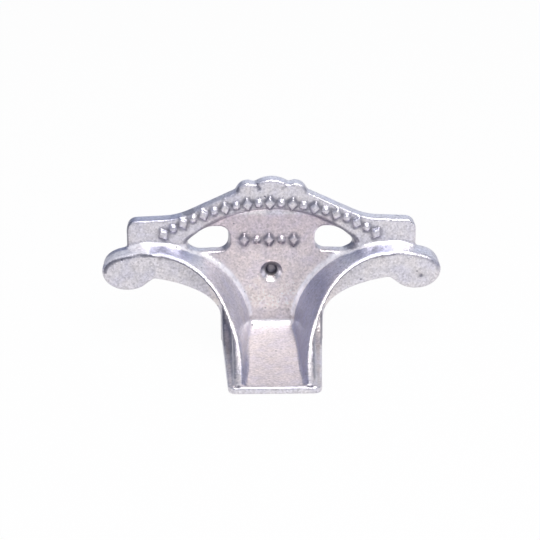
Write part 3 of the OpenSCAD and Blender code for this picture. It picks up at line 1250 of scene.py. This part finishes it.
@dataclass
class Casting:
    """The guard itself, one piece of cast aluminium.

    Attributes:
        finish: Finish of the metal.
        rows: Rows of raised ornament.
        flaws: Pits and nicks.
        merge_mm: Distance at which points count as one.
        form_mm: Pitch at which the solid is taken.
        fine_mm: Pitch at which the form is taken with its ornament.
        edge_rounds: Passes of smoothing that round the edges.
        corner_mm: Depth of filling at which an inner corner counts.
        corner_test: Passes of smoothing that find the inner corners.
        corner_reach: Reach in points within which a corner is the deepest place.
        corner_share: Share of the greatest depth that still counts as the corner's middle.
        window_share: Factor on the depth at which a corner counts, at the windows' feet.
        hole_clear: Radius round the screw hole without corners, as a share of the hole's radius.
        corner_rings: Reach of the inner corners' fillets in points.
        corner_rounds: Passes of smoothing that make those fillets.
        wing_mm: Height from which a corner is on top of a wing.
        wing_rings: Reach of the wings' fillets in points.
        wing_rounds: Passes of smoothing that make the wings' fillets.
        knuckles_mm: Middles of the places where a rib's rim runs out on a wing.
        knuckle_r_mm: Radius round those that is blended.
        knuckle_full: Share of that radius within which the blend is full.
        knuckle_rounds: Passes of smoothing that blend them.
        toe_mm: Distance by which the inner walls come inwards at the toe.
        toe_run_mm: Places along Y between which they do.
        drafts_mm: Side of each window, with the shift of its right-hand wall in front and behind.
        draft_reach_mm: Distance from that wall at which the shift has faded.
        plate_mm: Thickness of the plate.
        bridge_mm: Ends of the inner corner that runs past the right window.
        bridge_steps: Number of points along it.
        soft_rounds: Passes of smoothing that soften the ornament.
        wave_mm: Height of the surface's waves.
        wave_l_mm: Length of the surface's waves.
        tight_rounds: Passes of smoothing that find crevices and edges.
        tight_mm: Depth of filling that counts as 1.
        triangles: Number of triangles to keep.
    """

    finish: CastFinish = field(default_factory=CastFinish)
    rows: Sequence[ReliefRow] = ()
    flaws: Sequence[Union[Dent, Nick]] = ()
    merge_mm: float = 0.001
    form_mm: float = 0.40
    fine_mm: float = 0.34
    edge_rounds: int = 7
    corner_mm: float = 0.06
    corner_test: int = 12
    corner_reach: int = 4
    corner_share: float = 0.7
    window_share: float = 0.35
    hole_clear: float = 3.0
    corner_rings: int = 3
    corner_rounds: int = 80
    wing_mm: float = 36.0
    wing_rings: int = 1
    wing_rounds: int = 26
    knuckles_mm: Sequence[Place] = (
        (-51.0, -5.0, 38.0),
        (51.0, -5.0, 38.0),
        (-34.4, 3.5, 39.5),
        (34.4, 3.5, 39.5),
    )
    knuckle_r_mm: float = 6.0
    knuckle_full: float = 0.375
    knuckle_rounds: int = 60
    toe_mm: float = 1.4
    toe_run_mm: Span = (-15.0, -55.0)
    drafts_mm: Sequence[tuple[float, float, float]] = ((-1.0, 0.9, -0.2), (1.0, 0.2, -1.6))
    draft_reach_mm: float = 2.0
    plate_mm: float = 7.0
    bridge_mm: tuple[Place, Place] = ((41.0, -0.8, 38.0), (26.0, 0.3, 34.2))
    bridge_steps: int = 24
    soft_rounds: int = 3
    wave_mm: float = 0.06
    wave_l_mm: float = 6.0
    tight_rounds: int = 4
    tight_mm: float = 0.08
    triangles: int = 190000

    def build(self, solid: bpy.types.Object, hole: Mapping[str, Any]) -> bpy.types.Object:
        """Builds the casting.

        Args:
            solid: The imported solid, which is copied and left as it is.
            hole: The record's mount for the screw hole.

        Returns:
            The casting's object.
        """
        place = tuple(hole["pos_m"])
        radius = hole["dims"]["r_mm"] * MM
        metal = self.finish.material(place, radius)
        piece = bpy.data.objects.new("casting", self._joined([solid.data]))
        bpy.context.scene.collection.objects.link(piece)
        self._retake(piece, self.form_mm)
        corners = self._fillet(Skin(piece.data), place, radius)
        ornament = [row.build(metal) for row in self.rows]
        piece.data = self._joined([piece.data, *ornament])
        self._retake(piece, self.fine_mm)
        self._weather(Skin(piece.data), corners)
        self._thin(piece)
        self.dress(piece, metal)
        return piece

    def _joined(self, meshes: Sequence[bpy.types.Mesh]) -> bpy.types.Mesh:
        """Joins meshes into a new one whose points are merged.

        Args:
            meshes: The meshes to join.

        Returns:
            The new mesh.
        """
        shape = bmesh.new()
        for mesh in meshes:
            shape.from_mesh(mesh)
        bmesh.ops.remove_doubles(shape, verts=shape.verts, dist=self.merge_mm * MM)
        joined = bpy.data.meshes.new("casting")
        shape.to_mesh(joined)
        shape.free()
        return joined

    def _retake(self, piece: bpy.types.Object, pitch_mm: float) -> None:
        """Takes the form again as one even skin.

        Args:
            piece: The object whose mesh is replaced.
            pitch_mm: Distance between the points.
        """
        remesh = piece.modifiers.new("remesh", "REMESH")
        remesh.mode = "VOXEL"
        remesh.voxel_size = pitch_mm * MM
        self._settle(piece)

    def _fillet(self, skin: Skin, hole: Place, hole_radius: float) -> np.ndarray:
        """Rounds the edges, fills the inner corners and blends the ends of the rims.

        Args:
            skin: Points of the casting.
            hole: A point on the axis of the screw hole, in metres.
            hole_radius: Radius of the screw hole in metres.

        Returns:
            Points along the inner corners, in metres.
        """
        skin.relax(np.ones(len(skin.points)), self.edge_rounds)
        corner = self._corners(skin, hole, hole_radius)
        line = skin.points[corner > 0.5]
        on_wing = skin.points[:, 2] >= self.wing_mm * MM
        skin.relax(skin.spread(corner * ~on_wing, self.corner_rings), self.corner_rounds)
        skin.relax(skin.spread(corner * on_wing, self.wing_rings), self.wing_rounds)
        for knuckle in self.knuckles_mm:
            off = np.linalg.norm(skin.points / MM - np.array(knuckle), axis=1) / self.knuckle_r_mm
            skin.relax(fade(off, 1.0, self.knuckle_full), self.knuckle_rounds)
        self._thicken_toe(skin)
        self._draft_windows(skin)
        skin.write()
        return np.vstack([line, *(self._nearest(skin, place) for place in self._bridges())])

    def _corners(self, skin: Skin, hole: Place, hole_radius: float) -> np.ndarray:
        """Finds the inner corners between the plate and what stands out of it.

        Args:
            skin: Points of the casting.
            hole: A point on the axis of the screw hole, in metres.
            hole_radius: Radius of the screw hole in metres.

        Returns:
            1 at the points along a corner's middle and 0 elsewhere.
        """
        depth = skin.hollow(self.corner_test)
        most = skin.widen(depth, self.corner_reach)
        survey = Survey.of(skin, skin.normals())
        least = self.corner_mm * MM * np.where(Area.WINDOW_FEET.mask(survey), self.window_share, 1.0)
        off = np.linalg.norm(skin.points[:, (0, 2)] - np.array((hole[0], hole[2])), axis=1)
        clear = off >= self.hole_clear * hole_radius
        deep = (depth > self.corner_share * most) & (most > least)
        return (deep & clear & Area.PLATE_CORNERS.mask(survey)).astype(float)

    def _bridges(self) -> list[np.ndarray]:
        """Gives points close to the inner corners that run past the windows.

        Returns:
            Points in metres, on both sides.
        """
        steps = np.linspace(0.0, 1.0, self.bridge_steps)[:, None]
        first, last = np.array(self.bridge_mm) * MM
        right = first + (last - first) * steps
        return [point * (side, 1.0, 1.0) for side in (-1.0, 1.0) for point in right]

    @staticmethod
    def _nearest(skin: Skin, place: np.ndarray) -> np.ndarray:
        """Finds the point of the casting nearest to a place, in metres."""
        return skin.points[np.argmin(np.linalg.norm(skin.points - place, axis=1))]

    def _thicken_toe(self, skin: Skin) -> None:
        """Moves the inner walls of the ribs inwards towards the toe.

        Args:
            skin: Points of the casting.
        """
        survey = Survey.of(skin, skin.normals())
        run = fade(survey.y, *self.toe_run_mm)
        ease = run * run * (3.0 - 2.0 * run)
        share = skin.spread(Area.TOE_WALLS.mask(survey).astype(float), 2) * ease
        skin.points[:, 0] -= np.sign(survey.x) * share * self.toe_mm * MM

    def _draft_windows(self, skin: Skin) -> None:
        """Slants the right-hand wall of each window so that it shows from the front.

        Args:
            skin: Points of the casting.
        """
        survey = Survey.of(skin, skin.normals())
        wall = Area.WINDOW_WALLS.mask(survey)
        depth = fade(survey.y, 0.0, self.plate_mm)
        for side, front_mm, back_mm in self.drafts_mm:
            marks = skin.points[wall & (np.sign(survey.x) == side)]
            off = skin.reach(marks) / (self.draft_reach_mm * MM)
            push = front_mm + (back_mm - front_mm) * depth
            skin.points[:, 0] += push * np.exp(-off * off) * MM

    def _weather(self, skin: Skin, corners: np.ndarray) -> None:
        """Softens the ornament, presses the flaws and waves in and notes the painted light and shade that
        the finish needs.

        Args:
            skin: Points of the casting.
            corners: Points along the inner corners, in metres.
        """
        skin.relax(np.ones(len(skin.points)), self.soft_rounds)
        out = skin.normals()
        for flaw in self.flaws:
            flaw.press(skin, out)
        scale = 1.0 / (self.wave_l_mm * MM)
        wave = np.array([noise.noise(Vector(p) * scale) for p in skin.points])
        skin.points += out * (wave * self.wave_mm * MM)[:, None]
        tight = skin.hollow(self.tight_rounds) / (self.tight_mm * MM)
        # Notes painted shade and painted highlights as values on the mesh.
        PaintedLight(skin, Survey.of(skin, out, tight), corners).note()
        skin.write()

    def _thin(self, piece: bpy.types.Object) -> None:
        """Brings the mesh down to its number of triangles.

        Args:
            piece: The object whose mesh is replaced.
        """
        full = sum(len(p.vertices) - 2 for p in piece.data.polygons)
        LOG.info("full form: %d triangles", full)
        if full > self.triangles:
            thin = piece.modifiers.new("thin", "DECIMATE")
            thin.ratio = self.triangles / full
            self._settle(piece)

    @staticmethod
    def _settle(piece: bpy.types.Object) -> None:
        """Replaces an object's mesh with what its modifiers make of it.

        Args:
            piece: The object to settle.
        """
        bpy.context.view_layer.update()
        graph = bpy.context.evaluated_depsgraph_get()
        mesh = bpy.data.meshes.new_from_object(piece.evaluated_get(graph))
        piece.modifiers.clear()
        piece.data = mesh

    @staticmethod
    def dress(piece: bpy.types.Object, metal: bpy.types.Material) -> None:
        """Gives the casting its finish and its place in the frame.

        Args:
            piece: The casting's object.
            metal: Material of the casting.
        """
        piece.data.materials.clear()
        piece.data.materials.append(metal)
        piece.data.polygons.foreach_set("use_smooth", [True] * len(piece.data.polygons))
        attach(piece, Body.ROOT.value)
        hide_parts(NodeName.CASTING.value)


@dataclass(frozen=True)
class Softbox:
    """One area light.

    Attributes:
        name: Name of the light.
        place: Position in metres.
        aim: Point in metres that it faces.
        size: Width and height in metres.
        watts: Power.
        color: Colour of the light.
    """

    name: str
    place: Place
    aim: Place
    size: tuple[float, float]
    watts: float
    color: Color = (1.0, 1.0, 1.0)

    def build(self) -> bpy.types.Object:
        """Adds the light to the stage.

        Returns:
            The light's object.
        """
        data = bpy.data.lights.new(self.name, "AREA")
        data.shape = "RECTANGLE"
        data.size, data.size_y = self.size
        data.energy = self.watts
        data.color = self.color
        lamp = bpy.data.objects.new(self.name, data)
        bpy.context.scene.collection.objects.link(lamp)
        lamp.location = self.place
        lamp.rotation_mode = "QUATERNION"
        lamp.rotation_quaternion = (Vector(self.aim) - Vector(self.place)).to_track_quat("-Z", "Y")
        return lamp


@dataclass
class Studio:
    """Pale floor, soft lights and the camera of the photograph.

    Attributes:
        lights: The lights.
        target_mm: Point that the camera's place is measured from.
        elevation: Angle of the camera above the floor, in degrees.
        azimuth: Angle of the camera round the object, in degrees.
        distance_mm: Distance of the camera from the target.
        lens_mm: Focal length.
        sensor_mm: Width of the sensor.
        clip: Nearest and farthest distance that the camera sees, in metres.
        shift: Shift of the picture, as a share of its width.
        sky: Colour of the surroundings.
        paper: Colour of the floor as the object is lit by it.
        half: Half the floor's width in metres.
        gap_mm: Distance of the floor below the casting.
        glow: Share of plain white that the camera sees in the floor.
        sheen: Share of plain white that the casting reflects from the floor.
        left: Places along X between which that share grows, in metres.
        left_share: Shares of the sheen at those places.
        right: Places along X between which that share falls, in metres.
        right_share: Shares of the sheen at those places.
    """

    lights: Sequence[Softbox] = ()
    target_mm: Place = (0.0, 0.0, 29.4)
    elevation: float = 19.0
    azimuth: float = -1.3
    distance_mm: float = 650.0
    lens_mm: float = 108.33
    sensor_mm: float = 36.0
    clip: Span = (0.01, 20.0)
    shift: Span = (-0.0028, -0.0074)
    sky: Color = (0.14, 0.17, 0.27)
    paper: Color = (0.66, 0.64, 0.65)
    half: float = 4.0
    gap_mm: float = 0.05
    glow: float = 0.972
    sheen: float = 0.70
    left: Span = (-0.25, 0.0)
    left_share: Span = (0.1, 1.0)
    right: Span = (0.06, 0.30)
    right_share: Span = (1.0, 0.3)

    def build(self) -> None:
        """Builds the floor, the lights, the surroundings and the camera."""
        self._floor()
        self._sky()
        for light in self.lights:
            light.build()
        self._camera()

    def _floor(self) -> None:
        """Adds a white floor that keeps the object's shadow."""
        mesh = bpy.data.meshes.new("floor")
        signs = ((-1.0, -1.0), (1.0, -1.0), (1.0, 1.0), (-1.0, 1.0))
        corners = [(self.half * x, self.half * y, -self.gap_mm * MM) for x, y in signs]
        mesh.from_pydata(corners, [], [(0, 1, 2, 3)])
        floor = bpy.data.objects.new("floor", mesh)
        bpy.context.scene.collection.objects.link(floor)
        mesh.materials.append(self._paper())

    def _paper(self) -> bpy.types.Material:
        """Builds the floor's material.

        Returns:
            A matt white that the camera, and in part the casting, see as plain white.
        """
        material = bpy.data.materials.new("floor_white")
        material.use_nodes = True
        material.node_tree.nodes.clear()
        graph = Graph(material.node_tree)
        path = graph.add("ShaderNodeLightPath", output="Is Camera Ray")
        place = graph.add("ShaderNodeTexCoord", output="Object")
        along_x = graph.add("ShaderNodeSeparateXYZ", {}, {0: place})
        left = graph.ramp(along_x, self.left, self.left_share)
        right = graph.ramp(along_x, self.right, self.right_share)
        seen = path * self.glow + graph.other(path, "Is Glossy Ray") * self.sheen * left * right
        matt = graph.add("ShaderNodeBsdfDiffuse", {}, {"Color": opaque(self.paper)})
        glow = graph.add("ShaderNodeEmission", {}, {"Color": opaque(WHITE), "Strength": 1.0})
        both = graph.add("ShaderNodeMixShader", {}, {0: seen, 1: matt, 2: glow})
        graph.add("ShaderNodeOutputMaterial", {}, {"Surface": both})
        return material

    def _sky(self) -> None:
        """Sets plain, slightly blue surroundings that the camera sees as white."""
        world = bpy.data.worlds.new("surroundings")
        bpy.context.scene.world = world
        world.use_nodes = True
        world.node_tree.nodes.clear()
        graph = Graph(world.node_tree)
        around = graph.add("ShaderNodeBackground", {}, {"Color": opaque(self.sky), "Strength": 1.0})
        white = graph.add("ShaderNodeBackground", {}, {"Color": opaque(WHITE), "Strength": 1.0})
        seen = graph.add("ShaderNodeLightPath", output="Is Camera Ray")
        both = graph.add("ShaderNodeMixShader", {}, {0: seen, 1: around, 2: white})
        graph.add("ShaderNodeOutputWorld", {}, {"Surface": both})

    def _camera(self) -> None:
        """Places the camera of the photograph."""
        turn = math.radians(self.azimuth)
        lift = math.radians(self.elevation)
        level = math.cos(lift)
        back = Vector((math.sin(turn) * level, -math.cos(turn) * level, math.sin(lift)))
        data = bpy.data.cameras.new("camera")
        data.sensor_width = self.sensor_mm
        data.lens = self.lens_mm
        data.shift_x, data.shift_y = self.shift
        data.clip_start, data.clip_end = self.clip
        camera = bpy.data.objects.new("camera", data)
        bpy.context.scene.collection.objects.link(camera)
        camera.rotation_mode = "QUATERNION"
        camera.location = Vector(self.target_mm) * MM + back * (self.distance_mm * MM)
        camera.rotation_quaternion = (-back).to_track_quat("-Z", "Y")
        bpy.context.scene.camera = camera


def main() -> None:
    """Builds the casting and its stage, and reports each piece."""
    logging.basicConfig(level=logging.INFO, format="%(name)s: %(message)s")
    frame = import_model()
    bpy.context.scene.view_settings.view_transform = "Standard"
    casting = Casting(
        rows=[
            ReliefRow(
                "arch_row",
                radius_mm=76.5,
                crown_mm=55.7,
                half_mm=42.2,
                count=21,
                face_mm=0.0,
            ),
            ReliefRow(
                "middle_row",
                radius_mm=2000.0,
                crown_mm=40.05,
                half_mm=9.9,
                count=5,
                face_mm=1.0,
                centre_mm=-1.0,
                tall_mm=6.0,
            ),
        ],
        flaws=[
            Nick((-6.6, 64.4), (-4.9, 61.8)),
            Nick((6.6, 64.4), (4.7, 62.0), depth_mm=0.35),
            Dent((-14.2, -60.0, 3.0), (1.3, 1.2, 1.2), 0.5),
            Dent((13.0, -60.0, 3.0), (1.2, 1.2, 1.2), 0.5),
            Dent((59.2, -7.0, 27.4), (0.5, 1.0, 0.5), 0.4),
            Dent((-47.2, -7.0, 30.3), (0.6, 1.0, 0.6), 0.08),
            Dent((-8.2, -1.0, 5.0), (0.8, 1.2, 0.8), 0.5),
            Dent((0.6, -60.6, 4.0), (0.7, 1.2, 1.0), 0.35),
            Dent((8.6, -60.6, 4.0), (0.7, 1.2, 1.0), 0.3),
            Dent((-13.3, 0.0, 61.4), (0.9, 2.0, 1.6), 0.4),
        ],
    )
    hole = next(m for m in frame["record"]["mounts"] if m["name"] == "screw_hole")
    piece = casting.build(frame["nodes"][NodeName.CASTING.value], hole)
    LOG.info("%s: %d polygons", piece.name, len(piece.data.polygons))
    aim = (0.0, -0.02, 0.03)
    studio = Studio(
        lights=[
            Softbox("key", (0.18, -0.60, 0.88), aim, (0.6, 0.6), 10.5, (1.0, 0.975, 0.955)),
            Softbox("overhead", (0.12, 0.05, 1.1), aim, (0.6, 0.5), 4.0),
            Softbox("rear", (0.55, 1.5, 0.60), aim, (2.0, 0.6), 3.6, (0.90, 0.95, 1.0)),
        ]
    )
    studio.build()


if __name__ == "__main__":
    main()
